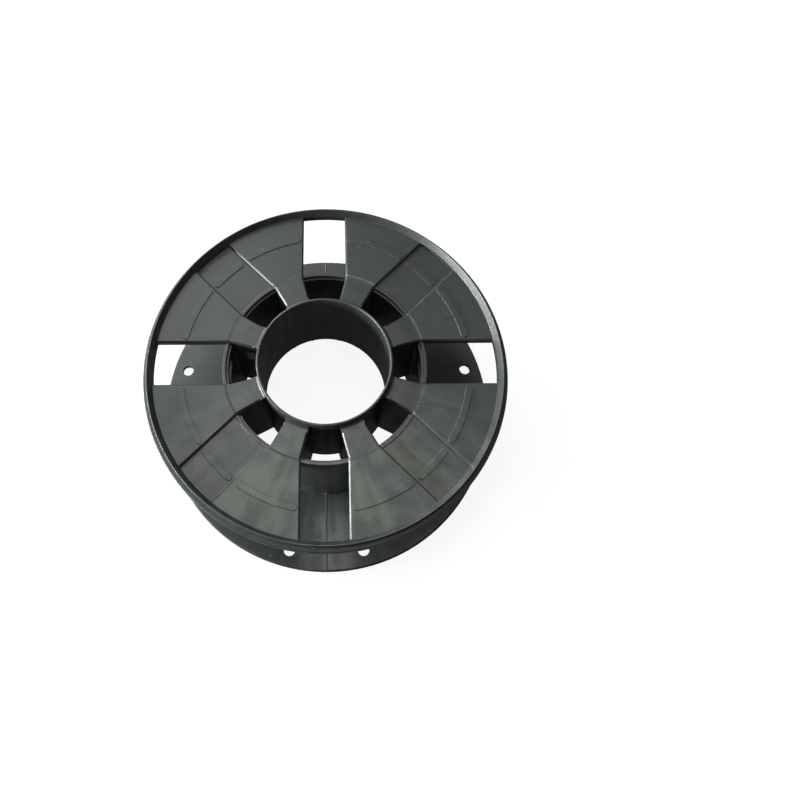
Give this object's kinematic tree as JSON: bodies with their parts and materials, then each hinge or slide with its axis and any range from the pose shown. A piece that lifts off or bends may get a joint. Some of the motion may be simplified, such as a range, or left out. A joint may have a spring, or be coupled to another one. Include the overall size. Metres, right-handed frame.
{
  "type": "plastic spool",
  "caption": "Empty moulded plastic reel for filament or wire, with a plain flange and drum, a windowed flange and a central hub tube.",
  "frame": {"origin": "on the spool's axis, at the level of the surface it lies on", "axes": "+Z along the spool's axis, from the drum flange up to the windowed flange; +X and +Y along the middles of two windows"},
  "size_m": [0.2, 0.2, 0.075],
  "materials": {
    "black_plastic": "satin black moulded plastic with fine scuffs and specks"
  },
  "bodies": {
    "root": {"drum_flange": "black_plastic", "window_flange": "black_plastic"}
  },
  "joints": []
}
